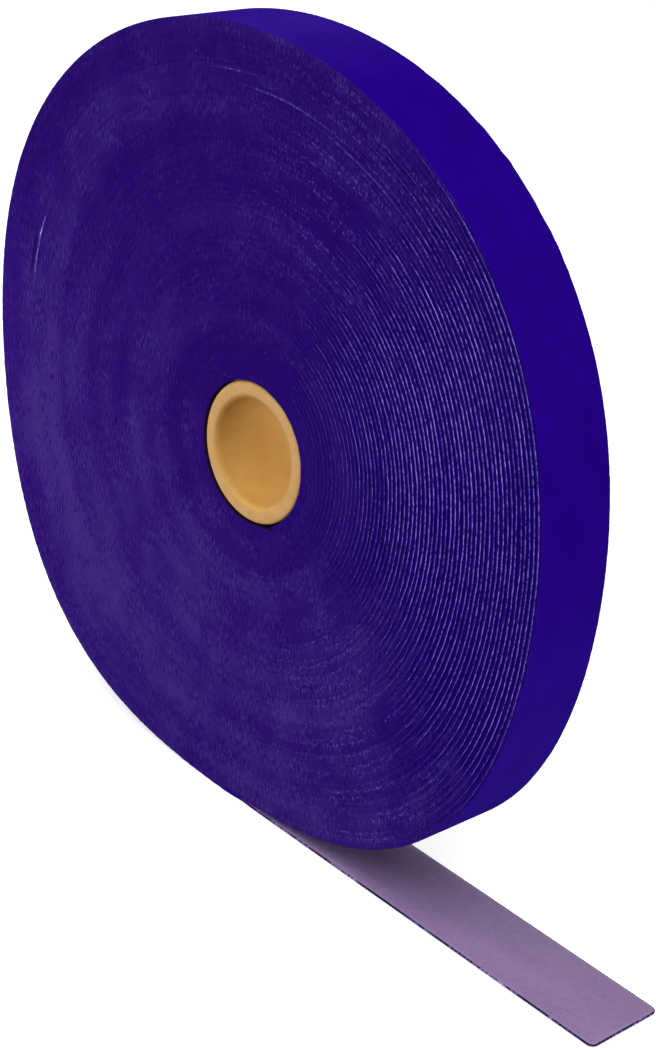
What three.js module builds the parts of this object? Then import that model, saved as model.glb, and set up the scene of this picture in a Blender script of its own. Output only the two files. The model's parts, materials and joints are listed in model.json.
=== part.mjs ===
// A roll of hook and loop tape: one long tape, with loops on its outer face and hooks on its inner face,
// wound on a cardboard core. The roll stands on its rim, and the tape's free tail lies beside it.
// Millimetres, +Z up. The core's axis runs along Y and the tail points along +X. The origin is on the
// surface that the roll stands on, straight below the core's axis.
import * as THREE from "three";

// The tape is a loop fabric and a hook film, bonded back to back.
const TAPE_WIDTH = 25;
const LOOP_FABRIC_THICKNESS = 0.44;
const BOND_THICKNESS = 0.04;
const HOOK_FILM_THICKNESS = 0.42;
const HOOK_FILM_MARGIN = 0.6; // bare fabric left along each edge of the tape
const TAPE_THICKNESS = LOOP_FABRIC_THICKNESS + BOND_THICKNESS + HOOK_FILM_THICKNESS;

// The cardboard core.
const CORE_BORE_DIAMETER = 30;
const CORE_WALL = 4.5;
const CORE_INSET = 0.1; // how far each end of the core lies below the roll's side
const CORE_RIM_ROUNDING = 1.2;
const CORE_SIDES = 48;
const CORE_WIDTH = TAPE_WIDTH - 2 * CORE_INSET;
const CORE_RADIUS = CORE_BORE_DIAMETER / 2 + CORE_WALL;

// The strip of double-sided tape that holds the first turn on the core.
const TAB_LENGTH = 15;
const TAB_INSET = 2.5; // from each edge of the tape
const TAB_THICKNESS = 0.3;
const TAB_CLEARANCE = 0.35; // on its inner and on its outer face
const TAB_ANGLE = THREE.MathUtils.degToRad(116);
const TAB_WIDTH = TAPE_WIDTH - 2 * TAB_INSET;

// The winding. Its inner turns are one plain ring, and its outer turns are shown one by one.
const ROLL_DIAMETER = 226.6; // as wound, before the roll settled
const TURN_CLEARANCE = 0.7; // the pile and the air between two turns
const SHOWN_TURN_COUNT = 24;
const STEPS_PER_TURN = 36;
const WINDING_SEAM = 0.4; // between the plain ring's step and the end of the first turn shown
const OUTER_RADIUS = ROLL_DIAMETER / 2;
const EYE_RADIUS = CORE_RADIUS + TAB_THICKNESS + 2 * TAB_CLEARANCE; // the hole that the core sits in
const WINDING_BUILD = OUTER_RADIUS - EYE_RADIUS;
const TURN_COUNT = Math.round(WINDING_BUILD / (TAPE_THICKNESS + TURN_CLEARANCE));

// How the soft roll has settled: the outermost turn has drifted off the core's axis and grown flat sides.
const DRIFT = new THREE.Vector2(-5.9, 1.6);
const LOBES = [
  { count: 2, rise: 2.5, angle: THREE.MathUtils.degToRad(-30) },
  { count: 3, rise: 0.76, angle: THREE.MathUtils.degToRad(-27) },
  { count: 4, rise: 2.4, angle: THREE.MathUtils.degToRad(-42.5) },
  { count: 5, rise: 0.73, angle: THREE.MathUtils.degToRad(19) },
];

// The free tail, cut into short plates so that it can bend.
const ROOT_STRAIGHT = 12; // flat tape between the last turn and the tail
const TAIL_LENGTH = 121.2;
const TAIL_PLATE_COUNT = 8;
const TAIL_PLATE_GAP = 0.3;
const TAIL_CORNER_RADIUS = 2;

// How finely round stretches are stepped.
const TAB_STEPS = 12;
const CORNER_STEPS = 6;

const MATERIALS = {
  cardboard: new THREE.MeshStandardMaterial({ color: 0xc9a05c, roughness: 0.85, metalness: 0 }),
  adhesive: new THREE.MeshStandardMaterial({ color: 0xe4ddc8, roughness: 0.6, metalness: 0 }),
  innerTurns: new THREE.MeshStandardMaterial({ color: 0x2c1470, roughness: 0.95, metalness: 0 }),
  outerTurns: new THREE.MeshStandardMaterial({ color: 0x24087f, roughness: 0.95, metalness: 0 }),
  loopFabric: new THREE.MeshStandardMaterial({ color: 0x22057c, roughness: 0.95, metalness: 0 }),
  hookFilm: new THREE.MeshStandardMaterial({ color: 0x846e95, roughness: 0.7, metalness: 0 }),
};

const STEP = (2 * Math.PI) / STEPS_PER_TURN;
const SHARE_PER_STEP = 1 / (TURN_COUNT * STEPS_PER_TURN);

// A direction in the plane of the roll's side, seen from the front: 0 points right and a quarter turn up.
function direction(angle) {
  return new THREE.Vector2(Math.cos(angle), Math.sin(angle));
}

// How far the settled roll's outermost turn rises above a true circle at an angle.
function lobeRise(angle) {
  const rises = LOBES.map((lobe) => lobe.rise * Math.cos(lobe.count * (angle - lobe.angle)));
  return rises.reduce((sum, rise) => sum + rise, 0);
}

// A point on the outer face of a turn, measured from the core's axis in the plane of the roll's side.
// The share of the winding below it is 0 at the core and 1 at the outermost turn.
function turnFace(angle, share) {
  const evenRadius = EYE_RADIUS + share * WINDING_BUILD;
  const radius = evenRadius * (1 + (lobeRise(angle) / OUTER_RADIUS) * share ** 2);
  return direction(angle).multiplyScalar(radius).addScaledVector(DRIFT, share);
}

// The angle, near the bottom of the roll, at which the last step of the tape lies level.
function findLeavingAngle() {
  const closeEnough = 1e-9;
  let low = 1.5 * Math.PI - 2 * STEP;
  let high = 1.5 * Math.PI + 3 * STEP;
  while (high - low > closeEnough) {
    const middle = (low + high) / 2;
    const climb = turnFace(middle, 1).y - turnFace(middle - STEP, 1 - SHARE_PER_STEP).y;
    if (climb > 0) high = middle;
    else low = middle;
  }
  return (low + high) / 2;
}

const LEAVING_ANGLE = findLeavingAngle();
const AXIS_HEIGHT = -turnFace(LEAVING_ANGLE, 1).y;
const TAIL_ROOT = turnFace(LEAVING_ANGLE, 1).x + ROOT_STRAIGHT;

// Places a point of the roll's side, measured from the core's axis, at its height above the surface.
function standing(point) {
  return new THREE.Vector2(point.x, point.y + AXIS_HEIGHT);
}

function namedMesh(name, geometry, material) {
  const mesh = new THREE.Mesh(geometry, material.clone());
  mesh.name = name;
  return mesh;
}

function extruded(shape, depth, curveSegments) {
  return new THREE.ExtrudeGeometry(shape, { depth, curveSegments, bevelEnabled: false });
}

// Turns a solid that was extruded from an outline of the roll's side to run across the roll, centred.
function laidAcross(mesh, width) {
  mesh.rotation.x = Math.PI / 2;
  mesh.position.y = width / 2;
  return mesh;
}

// The core: a cardboard tube with rounded rims.
function makeCore() {
  const round = CORE_RIM_ROUNDING;
  const outside = CORE_RADIUS - round;
  const inside = CORE_BORE_DIAMETER / 2 + round;
  const end = CORE_WIDTH / 2 - round;
  const quarter = Math.PI / 2;
  const path = new THREE.Path();
  path.moveTo(CORE_RADIUS, -end);
  path.lineTo(CORE_RADIUS, end);
  path.absarc(outside, end, round, 0, quarter);
  path.absarc(inside, end, round, quarter, 2 * quarter);
  path.absarc(inside, -end, round, 2 * quarter, 3 * quarter);
  path.absarc(outside, -end, round, 3 * quarter, 4 * quarter);
  const geometry = new THREE.LatheGeometry(path.getPoints(1), CORE_SIDES);
  const core = namedMesh("core_tube", geometry, MATERIALS.cardboard);
  core.position.z = AXIS_HEIGHT;
  return core;
}

// The start tab: a short curved strip between the core and the first turn.
function makeStartTab() {
  const inner = CORE_RADIUS + TAB_CLEARANCE;
  const outer = inner + TAB_THICKNESS;
  const halfAngle = TAB_LENGTH / inner / 2;
  const shape = new THREE.Shape();
  shape.absarc(0, AXIS_HEIGHT, outer, TAB_ANGLE - halfAngle, TAB_ANGLE + halfAngle, false);
  shape.absarc(0, AXIS_HEIGHT, inner, TAB_ANGLE + halfAngle, TAB_ANGLE - halfAngle, true);
  const geometry = extruded(shape, TAB_WIDTH, TAB_STEPS);
  return laidAcross(namedMesh("start_tab", geometry, MATERIALS.adhesive), TAB_WIDTH);
}

// The inner turns: a plain ring whose outside rises by one turn and ends in a step, where the first turn
// shown begins.
function makeInnerTurns() {
  const firstShare = 1 - (SHOWN_TURN_COUNT + 1) / TURN_COUNT;
  const lastShare = firstShare + 1 / TURN_COUNT;
  const outline = [];
  for (let i = 0; i < STEPS_PER_TURN; i += 1) {
    outline.push(standing(turnFace(LEAVING_ANGLE + i * STEP, firstShare + i * SHARE_PER_STEP)));
  }
  const stepRadius = EYE_RADIUS + lastShare * WINDING_BUILD;
  const lastAngle = LEAVING_ANGLE - WINDING_SEAM / stepRadius;
  outline.push(standing(turnFace(lastAngle, lastShare)));
  const eye = [];
  for (let i = 0; i < CORE_SIDES; i += 1) {
    const angle = (-i / CORE_SIDES) * 2 * Math.PI;
    eye.push(standing(direction(angle).multiplyScalar(EYE_RADIUS)));
  }
  const shape = new THREE.Shape(outline);
  shape.holes.push(new THREE.Path(eye));
  const geometry = extruded(shape, TAPE_WIDTH, 1);
  return laidAcross(namedMesh("inner_turns", geometry, MATERIALS.innerTurns), TAPE_WIDTH);
}

// The stations of the turns shown: a point on the outer and one on the inner face of the tape at each step,
// from the innermost turn out, and last the flat root that the tail joins.
function turnStations() {
  const stations = [];
  for (let left = SHOWN_TURN_COUNT * STEPS_PER_TURN; left > 0; left -= 1) {
    const angle = LEAVING_ANGLE - left * STEP;
    const outer = standing(turnFace(angle, 1 - left * SHARE_PER_STEP));
    const inner = outer.clone().addScaledVector(direction(angle), -TAPE_THICKNESS);
    stations.push({ outer, inner });
  }
  for (const x of [TAIL_ROOT - ROOT_STRAIGHT, TAIL_ROOT]) {
    stations.push({ outer: new THREE.Vector2(x, 0), inner: new THREE.Vector2(x, TAPE_THICKNESS) });
  }
  return stations;
}

function distanceToSegment(point, start, end) {
  const along = end.clone().sub(start);
  const share = point.clone().sub(start).dot(along) / along.lengthSq();
  return point.distanceTo(start.clone().addScaledVector(along, THREE.MathUtils.clamp(share, 0, 1)));
}

// The least gap between one turn's inner face and the outer face of the turn below it.
function leastTurnGap(stations) {
  const reach = 3; // steps to look either way of the point below
  let least = Infinity;
  stations.forEach((station, i) => {
    const below = i - STEPS_PER_TURN;
    for (let j = Math.max(0, below - reach); j < below + reach; j += 1) {
      const gap = distanceToSegment(station.inner, stations[j].outer, stations[j + 1].outer);
      least = Math.min(least, gap);
    }
  });
  return least;
}

// The outer turns: the tape as one unbroken strip, four corners at each station.
function makeOuterTurns() {
  const stations = turnStations();
  console.log(`least gap between turns ${leastTurnGap(stations).toFixed(3)} mm`);
  const front = -TAPE_WIDTH / 2;
  const back = TAPE_WIDTH / 2;
  const cornerCount = 4;
  const corners = stations.flatMap(({ outer, inner }) => [
    new THREE.Vector3(outer.x, front, outer.y),
    new THREE.Vector3(outer.x, back, outer.y),
    new THREE.Vector3(inner.x, back, inner.y),
    new THREE.Vector3(inner.x, front, inner.y),
  ]);
  const index = [];
  const addQuad = (a, b, c, d) => index.push(a, b, c, a, c, d);
  const last = corners.length - cornerCount;
  addQuad(0, 3, 2, 1);
  for (let from = 0; from < last; from += cornerCount) {
    const to = from + cornerCount;
    for (let corner = 0; corner < cornerCount; corner += 1) {
      const next = (corner + 1) % cornerCount;
      addQuad(from + corner, from + next, to + next, to + corner);
    }
  }
  addQuad(last, last + 1, last + 2, last + 3);
  const geometry = new THREE.BufferGeometry().setFromPoints(corners).setIndex(index);
  geometry.computeVertexNormals();
  return namedMesh("outer_turns", geometry, MATERIALS.outerTurns);
}

// The outline of one plate of the tail, with its far corners rounded where the tape ends.
function plateOutline(from, to, width, cornerRadius) {
  const half = width / 2;
  const shape = new THREE.Shape();
  shape.moveTo(from, -half);
  shape.lineTo(to - cornerRadius, -half);
  if (cornerRadius > 0) {
    shape.absarc(to - cornerRadius, -half + cornerRadius, cornerRadius, -Math.PI / 2, 0);
    shape.absarc(to - cornerRadius, half - cornerRadius, cornerRadius, 0, Math.PI / 2);
  } else {
    shape.lineTo(to, half);
  }
  shape.lineTo(from, half);
  return shape;
}

// One plate of the tail: loop fabric below and hook film above.
function makeTailPlate(number, from, to) {
  const isEnd = number === TAIL_PLATE_COUNT;
  const loopCorner = isEnd ? TAIL_CORNER_RADIUS : 0;
  const hookCorner = Math.max(0, loopCorner - HOOK_FILM_MARGIN);
  const hookTo = isEnd ? to - HOOK_FILM_MARGIN : to;
  const loopOutline = plateOutline(from, to, TAPE_WIDTH, loopCorner);
  const hookOutline = plateOutline(from, hookTo, TAPE_WIDTH - 2 * HOOK_FILM_MARGIN, hookCorner);
  const loopGeometry = extruded(loopOutline, LOOP_FABRIC_THICKNESS, CORNER_STEPS);
  const hookGeometry = extruded(hookOutline, HOOK_FILM_THICKNESS, CORNER_STEPS);
  const loop = namedMesh(`tail_loop_${number}`, loopGeometry, MATERIALS.loopFabric);
  const hook = namedMesh(`tail_hook_${number}`, hookGeometry, MATERIALS.hookFilm);
  hook.position.z = LOOP_FABRIC_THICKNESS + BOND_THICKNESS;
  return [loop, hook];
}

// The tail: its plates in a row, a small gap apart at each bend.
function makeTail() {
  const tail = new THREE.Group();
  const platePitch = TAIL_LENGTH / TAIL_PLATE_COUNT;
  for (let number = 1; number <= TAIL_PLATE_COUNT; number += 1) {
    const to = TAIL_ROOT + number * platePitch;
    tail.add(...makeTailPlate(number, to - platePitch + TAIL_PLATE_GAP, to));
  }
  return tail;
}

const roll = new THREE.Group();
roll.add(makeCore(), makeStartTab(), makeInnerTurns(), makeOuterTurns());

const tapeRoll = new THREE.Group();
tapeRoll.add(roll, makeTail());

export default tapeRoll;
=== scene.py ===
# %% [markdown]
# # A roll of hook and loop tape
#
# The real object is one long strip of tape wound on a cardboard core. One face of the tape is a soft pile of
# loops, the other is a plastic film with small hooks. The roll stands on its rim, and the last hand's width
# of tape lies free on the table with its hooks up.
#
# ## The frame
#
# The engineering model gives every piece its place and its joints. It is loaded first and never moved. All
# that is modelled below is laid over it, in metres, in the same axes: X to the right, Y away from the viewer
# and Z up. The pieces of the roll ride on its body, and the solid that each new piece stands for is hidden.

# %% Load the frame
import json
import math

import bmesh
import bpy
import numpy as np
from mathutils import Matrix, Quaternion, Vector, noise


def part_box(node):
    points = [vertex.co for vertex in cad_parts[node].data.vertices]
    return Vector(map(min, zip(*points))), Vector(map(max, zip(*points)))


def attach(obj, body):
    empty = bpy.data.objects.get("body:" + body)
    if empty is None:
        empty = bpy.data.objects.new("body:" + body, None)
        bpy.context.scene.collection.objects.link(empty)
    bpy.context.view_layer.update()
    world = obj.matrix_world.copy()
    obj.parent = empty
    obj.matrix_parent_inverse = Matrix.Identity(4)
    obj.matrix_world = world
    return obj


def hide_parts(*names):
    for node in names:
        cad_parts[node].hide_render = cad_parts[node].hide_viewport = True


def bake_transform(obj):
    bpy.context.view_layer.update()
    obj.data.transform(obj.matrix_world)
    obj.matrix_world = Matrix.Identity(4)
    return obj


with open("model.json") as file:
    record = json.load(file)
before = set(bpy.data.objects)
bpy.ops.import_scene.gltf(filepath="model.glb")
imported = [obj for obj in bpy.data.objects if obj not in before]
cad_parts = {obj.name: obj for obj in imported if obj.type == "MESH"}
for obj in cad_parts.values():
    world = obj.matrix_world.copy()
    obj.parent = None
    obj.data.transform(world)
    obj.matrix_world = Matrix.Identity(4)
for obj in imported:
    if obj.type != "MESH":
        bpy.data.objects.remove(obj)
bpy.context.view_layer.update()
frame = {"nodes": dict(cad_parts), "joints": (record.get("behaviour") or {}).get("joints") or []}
MM = 0.001

# %% [markdown]
# ## Camera
#
# The camera stands where the photographer stood: to the right of the roll's side and above it, with a long
# lens and a slight tilt. It could be moved about until the picture looks right, but a viewpoint that is only
# nearly right spoils every later comparison. So its place was worked out from the outline of the roll, the
# core and the tail, and it is set before the first piece.

# %% Camera
PHOTO_HEIGHT = 1048
FOCAL_LENGTH_PIXELS = 2233.9
CAMERA_AZIMUTH = math.radians(45.989)
CAMERA_ELEVATION = math.radians(25.196)
CAMERA_TILT = math.radians(5.359)
CAMERA_DISTANCE = 600.3 * MM
CAMERA_TARGET = Vector((19.1, -0.2, 90.2)) * MM


def direction_to_viewer(azimuth, elevation):
    """The direction from the object to someone who looks at it."""
    level = math.cos(elevation)
    return Vector((math.sin(azimuth) * level, -math.cos(azimuth) * level, math.sin(elevation)))


back = direction_to_viewer(CAMERA_AZIMUTH, CAMERA_ELEVATION)
bpy.ops.object.camera_add(location=CAMERA_TARGET + CAMERA_DISTANCE * back)
camera = bpy.context.active_object
camera.rotation_mode = "QUATERNION"
camera.rotation_quaternion = back.to_track_quat("Z", "Y") @ Quaternion((0, 0, 1), CAMERA_TILT)
camera.data.lens = FOCAL_LENGTH_PIXELS / PHOTO_HEIGHT * camera.data.sensor_width
bpy.context.scene.camera = camera
print("lens in mm", round(camera.data.lens, 2))

# %% [markdown]
# ## Floor and light
#
# The studio is a white table with pale walls all round. A large soft lamp hangs above it, and two small ones
# stand low, in front and at the right, to lift the roll's side. A stronger lamp could make the table white,
# but it would bleach the tape too. So the floor's white paint has a little glow that is seen but lights
# nothing, and the object keeps its own plain light and its soft shadow.

# %% Helpers for shader nodes
def add_node(tree, kind, operation=None, **inputs):
    """Adds a shader node with its operation, if it has one, and its inputs by name, with _ for a space."""
    made = tree.nodes.new(kind)
    if operation:
        made.operation = operation
    for name, value in inputs.items():
        made.inputs[name.replace("_", " ")].default_value = value
    return made


def combined(tree, operation, first, second):
    """One value from two numbers or outputs, by a sum, a product or another operation."""
    made = add_node(tree, "ShaderNodeMath", operation)
    for socket, value in zip(made.inputs, (first, second)):
        if isinstance(value, (int, float)):
            socket.default_value = value
        else:
            tree.links.new(value, socket)
    return made.outputs[0]


def scaled(tree, value, low, high, start=0.0, end=1.0):
    """Turns a value from start to end into one from low to high."""
    ranged = add_node(tree, "ShaderNodeMapRange", From_Min=start, From_Max=end, To_Min=low, To_Max=high)
    tree.links.new(value, ranged.inputs["Value"])
    return ranged.outputs["Result"]


def seen_directly(tree):
    """A value of 1 for what is seen straight, in a reflection or through glass, and 0 for other light."""
    path = add_node(tree, "ShaderNodeLightPath")
    total = path.outputs["Is Camera Ray"]
    for ray in ("Is Glossy Ray", "Is Transmission Ray"):
        total = combined(tree, "MAXIMUM", total, path.outputs[ray])
    return total


def new_finish(name, roughness=1.0, specular=0.0):
    """An empty finish and its nodes, rough and without gloss unless it says otherwise."""
    finish = bpy.data.materials.new(name)
    finish.use_nodes = True
    shader = finish.node_tree.nodes["Principled BSDF"]
    shader.inputs["Roughness"].default_value = roughness
    shader.inputs["Specular IOR Level"].default_value = specular
    return finish, finish.node_tree


print("helpers for shader nodes are ready")

# %% Walls and floor
WALL_LIGHT = 0.5
FLOOR_SIZE = 8
FLOOR_GAP = 0.2 * MM
FLOOR_GREY = 0.8
FLOOR_GLOW = 0.6
bpy.context.scene.view_settings.view_transform = "Standard"
world = bpy.data.worlds.new("pale_studio")
bpy.context.scene.world = world
world.use_nodes = True
tree = world.node_tree
walls = tree.nodes["Background"]
walls.inputs["Color"].default_value = (1, 1, 1, 1)
tree.links.new(scaled(tree, seen_directly(tree), WALL_LIGHT, 1.0), walls.inputs["Strength"])

bpy.ops.object.select_all(action="DESELECT")
bpy.ops.mesh.primitive_plane_add(size=FLOOR_SIZE, location=(0, 0, -FLOOR_GAP))
floor = bpy.context.active_object
floor.name = "floor"
table_paint, tree = new_finish("white_table")
table_top = tree.nodes["Principled BSDF"]
table_top.inputs["Base Color"].default_value = (FLOOR_GREY, FLOOR_GREY, FLOOR_GREY, 1)
table_top.inputs["Emission Color"].default_value = (1, 1, 1, 1)
tree.links.new(scaled(tree, seen_directly(tree), 0.0, FLOOR_GLOW), table_top.inputs["Emission Strength"])
floor.data.materials.append(table_paint)
print("studio", world.name, table_paint.name)

# %% Lamps
def add_soft_lamp(name, azimuth, elevation, distance, size, power):
    """A square lamp that shines at the roll."""
    aim = direction_to_viewer(math.radians(azimuth), math.radians(elevation))
    bpy.ops.object.light_add(type="AREA", location=CAMERA_TARGET + distance * aim)
    lamp = bpy.context.active_object
    lamp.name = name
    lamp.rotation_mode = "QUATERNION"
    lamp.rotation_quaternion = aim.to_track_quat("Z", "Y")
    lamp.data.size = size
    lamp.data.energy = power


add_soft_lamp("lamp_above", azimuth=35, elevation=66, distance=2.6, size=2.4, power=60)
add_soft_lamp("lamp_front", azimuth=-42, elevation=-2, distance=0.5, size=0.14, power=0.9)
add_soft_lamp("lamp_right", azimuth=60, elevation=-5, distance=0.35, size=0.1, power=0.15)

# %% [markdown]
# ## Finishes: how woven tape gets its colour
#
# Cloth is never one colour. A picture laid over it would need a file and would repeat, so each finish is
# mixed from procedural noise. The tape's own UV map is measured in millimetres, U along the tape and V across
# it. A pattern on this map follows the tape round every turn and stays in place when the tail bends. Fibres
# that were combed over many turns at once read the object's own axes instead. A value that is painted on the
# points of a piece says where a finish changes.

# %% Helpers for finishes: maps and noise
def changed(tree, operation, vector, amount):
    """A vector that is shifted or stretched by an amount along each axis."""
    made = add_node(tree, "ShaderNodeVectorMath", operation)
    made.inputs[1].default_value = amount
    tree.links.new(vector, made.inputs[0])
    return made.outputs[0]


def along_tape(tree, along, across):
    """The tape's own map, with a number of pattern steps in a millimetre along and across the tape."""
    place = add_node(tree, "ShaderNodeTexCoord")
    return changed(tree, "MULTIPLY", place.outputs["UV"], (along, across, 1))


def in_space(tree, steps, centre=(0, 0, 0)):
    """The object's own axes from a centre, with a number of pattern steps in a millimetre along each."""
    place = add_node(tree, "ShaderNodeTexCoord")
    from_centre = changed(tree, "SUBTRACT", place.outputs["Object"], centre)
    return changed(tree, "MULTIPLY", from_centre, [count / MM for count in steps])


def along_axis(tree, vector, axis):
    """One of the three values of a vector."""
    parts = add_node(tree, "ShaderNodeSeparateXYZ")
    tree.links.new(vector, parts.inputs[0])
    return parts.outputs[axis]


def cloudy(tree, vector, detail=3.0, roughness=0.6):
    """Noise on a map, as a value from 0 to 1."""
    clouds = add_node(tree, "ShaderNodeTexNoise", Scale=1.0, Detail=detail, Roughness=roughness)
    tree.links.new(vector, clouds.inputs["Vector"])
    return clouds.outputs["Fac"]


def painted(tree, name):
    """A value that is stored on the points of a piece."""
    stored = add_node(tree, "ShaderNodeAttribute")
    stored.attribute_name = name
    return stored.outputs["Fac"]


print("maps and noise are ready")

# %% Helpers for finishes: colours
def blended(tree, *parts):
    """A weighted sum: each part is a value and its weight."""
    total = 0.0
    for value, weight in parts:
        total = combined(tree, "ADD", total, combined(tree, "MULTIPLY", value, weight))
    return total


def tinted(tree, value, *stops):
    """Colours a value: each stop is a place from 0 to 1 and a colour."""
    ramp = add_node(tree, "ShaderNodeValToRGB")
    marks = ramp.color_ramp.elements
    while len(marks) < len(stops):
        marks.new(0.5)
    for mark, (place, colour) in zip(marks, stops):
        mark.position = place
        mark.color = (*colour, 1)
    tree.links.new(value, ramp.inputs["Fac"])
    return ramp.outputs["Color"]


def mixed(tree, factor, first, second):
    """A colour between two others, each given as numbers or as the output of a node."""
    between = add_node(tree, "ShaderNodeMix")
    between.data_type = "RGBA"
    tree.links.new(factor, between.inputs["Factor"])
    for name, colour in (("A", first), ("B", second)):
        if isinstance(colour, tuple):
            between.inputs[name].default_value = (*colour, 1)
        else:
            tree.links.new(colour, between.inputs[name])
    return between.outputs["Result"]


def complete(finish, colour, relief=None, depth=0.0):
    """Gives a finish its colour and, from a value, relief of a depth in metres."""
    tree = finish.node_tree
    shader = tree.nodes["Principled BSDF"]
    tree.links.new(colour, shader.inputs["Base Color"])
    if relief is not None:
        raised = add_node(tree, "ShaderNodeBump", Strength=1.0, Distance=depth)
        tree.links.new(relief, raised.inputs["Height"])
        tree.links.new(raised.outputs["Normal"], shader.inputs["Normal"])
    print("made", finish.name)
    return finish


print("colours are ready")

# %% [markdown]
# ## Finish: the loop pile
#
# The rim shows the loop side: brushed nylon in a deep blue-violet. Hair could stand for the loops, but they
# are too small to be seen one by one. So a fine noise stands for the nap, and a slow one for patches where it
# lies another way. The pile drinks light, so it is fully rough and has no gloss. At the top and at the lower
# right a paler colour is painted in as painted sheen, where light catches the loops.

# %% Finish of the loop pile
finish, tree = new_finish("loop_pile")
nap = cloudy(tree, along_tape(tree, 2.2, 2.2), detail=4.0, roughness=0.75)
brushed = cloudy(tree, along_tape(tree, 0.06, 0.09), detail=2.0)
shade = blended(tree, (nap, 0.5), (brushed, 0.5))
deep = tinted(tree, shade, (0.3, (0.0125, 0.0002, 0.165)), (0.7, (0.0185, 0.0008, 0.23)))
# The paler colour is painted sheen, at the top and at the lower right of the rim.
painted_sheen_colour = tinted(tree, shade, (0.3, (0.0235, 0.006, 0.2)), (0.7, (0.031, 0.0095, 0.265)))
colour = mixed(tree, painted(tree, "painted_sheen"), deep, painted_sheen_colour)
pile_finish = complete(finish, colour, relief=nap, depth=0.12 * MM)

# %% [markdown]
# ## Finishes: the tape's edge
#
# Seen from the side, the edge is fuzzy over most of the roll, with fibres that were combed up and down when
# it was handled, so their streaks run upright over all the turns. At the right the edge lies open: a bare
# strip with pale threads draws the bright broken lines, with deep blue gaps between them. Elsewhere single
# thread ends show as rows of dots. One colour for the whole side would lose all this. So each face of the
# tape's section gets a finish of its own, and painted values say where it is combed, dotted or worn.

# %% Fibres and threads
NAP_SHADE = (0.0105, 0.0007, 0.14)
SPECK_SHADE = (0.1, 0.065, 0.28)
DOT_SHADE = (0.135, 0.075, 0.37)


def fuzz_streaks(tree):
    """Upright streaks of combed fibres, stronger in some places than in others, as a value about 0.5."""
    fine = cloudy(tree, in_space(tree, (1.6, 0.4, 0.42)), detail=2.0, roughness=0.6)
    strong = cloudy(tree, in_space(tree, (0.11, 0.1, 0.16)), detail=1.0)
    strength = scaled(tree, strong, 0.6, 2.0, start=0.4, end=0.6)
    around_zero = combined(tree, "SUBTRACT", fine, 0.5)
    return combined(tree, "ADD", combined(tree, "MULTIPLY", around_zero, strength), 0.5)


def fuzz_colour(tree):
    """Combed fibres in rings a few turns wide, with painted shade at the top, painted light at the lower left
    and pale specks.
    """
    patches = cloudy(tree, in_space(tree, (0.08, 0.05, 0.05)), detail=3.0)
    shade = blended(tree, (fuzz_streaks(tree), 0.45), (patches, 0.3), (painted(tree, "tone"), 0.25))
    dark, middle, light = (0.0145, 0.0022, 0.104), (0.022, 0.0058, 0.126), (0.041, 0.0175, 0.16)
    fibres = tinted(tree, shade, (0.36, dark), (0.5, middle), (0.64, light))
    fine = cloudy(tree, in_space(tree, (1.5, 0.5, 0.6)), detail=2.0, roughness=0.7)
    return mixed(tree, scaled(tree, fine, 0.0, 0.6, start=0.68, end=0.8), fibres, SPECK_SHADE)


def thread_colour(tree):
    """Pale threads with dim breaks between them, and stretches that are brighter than others."""
    threads = cloudy(tree, along_tape(tree, 0.85, 0.6), detail=2.0, roughness=0.75)
    stretches = cloudy(tree, along_tape(tree, 0.05, 0.0), detail=3.0, roughness=0.6)
    turn_tone = cloudy(tree, along_tape(tree, 0.006, 0.0), detail=1.0)
    shade = blended(tree, (threads, 0.5), (stretches, 0.3), (turn_tone, 0.2))
    dim, middle, pale = (0.035, 0.011, 0.18), (0.15, 0.095, 0.47), (0.33, 0.235, 0.8)
    return tinted(tree, shade, (0.42, dim), (0.5, middle), (0.58, pale))


def dotted_fibres(tree, strength):
    """Fibres where the edge is combed, a deep gap where it is open, and thread ends of a strength."""
    combed = mixed(tree, painted(tree, "combed"), NAP_SHADE, fuzz_colour(tree))
    dashes = cloudy(tree, in_space(tree, (1.6, 0.7, 1.0)), detail=1.0, roughness=0.7)
    thread_ends = scaled(tree, dashes, 0.0, strength, start=0.52, end=0.7)
    return mixed(tree, combined(tree, "MULTIPLY", painted(tree, "dotted"), thread_ends), combed, DOT_SHADE)


print("fibres and threads are ready")

# %% Finishes of the wound tape's edge
RAGGED_BORDER = 0.7
BARE_STRIP_BORDER = (12.4, 12.6)

# The cut edge of the cloth, which is worn to its threads where a turn stands proud.
finish, tree = new_finish("side_fuzz")
colour = mixed(tree, painted(tree, "worn"), dotted_fibres(tree, 1.0), thread_colour(tree))
side_fuzz_finish = complete(finish, colour, relief=fuzz_streaks(tree), depth=0.1 * MM)

# The sides of the pile and of the hooks, which stand back from the cut edge or are combed over it.
finish, tree = new_finish("nap_front")
nap_front_finish = complete(finish, dotted_fibres(tree, 0.35), relief=fuzz_streaks(tree), depth=0.1 * MM)

# The bare strip beside the pile, with pale threads along its very edge and a ragged border to the deep shade.
finish, tree = new_finish("bare_selvage")
from_middle = combined(tree, "ABSOLUTE", along_axis(tree, along_tape(tree, 1, 1), "Y"), 0.0)
ragged = combined(tree, "MULTIPLY", cloudy(tree, along_tape(tree, 0.55, 0.0), detail=2.0), RAGGED_BORDER)
at_edge = scaled(tree, combined(tree, "ADD", from_middle, ragged), 0.0, 1.0, *BARE_STRIP_BORDER)
open_strip = mixed(tree, at_edge, NAP_SHADE, thread_colour(tree))
selvage_finish = complete(finish, mixed(tree, painted(tree, "combed"), open_strip, fuzz_colour(tree)))
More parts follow.
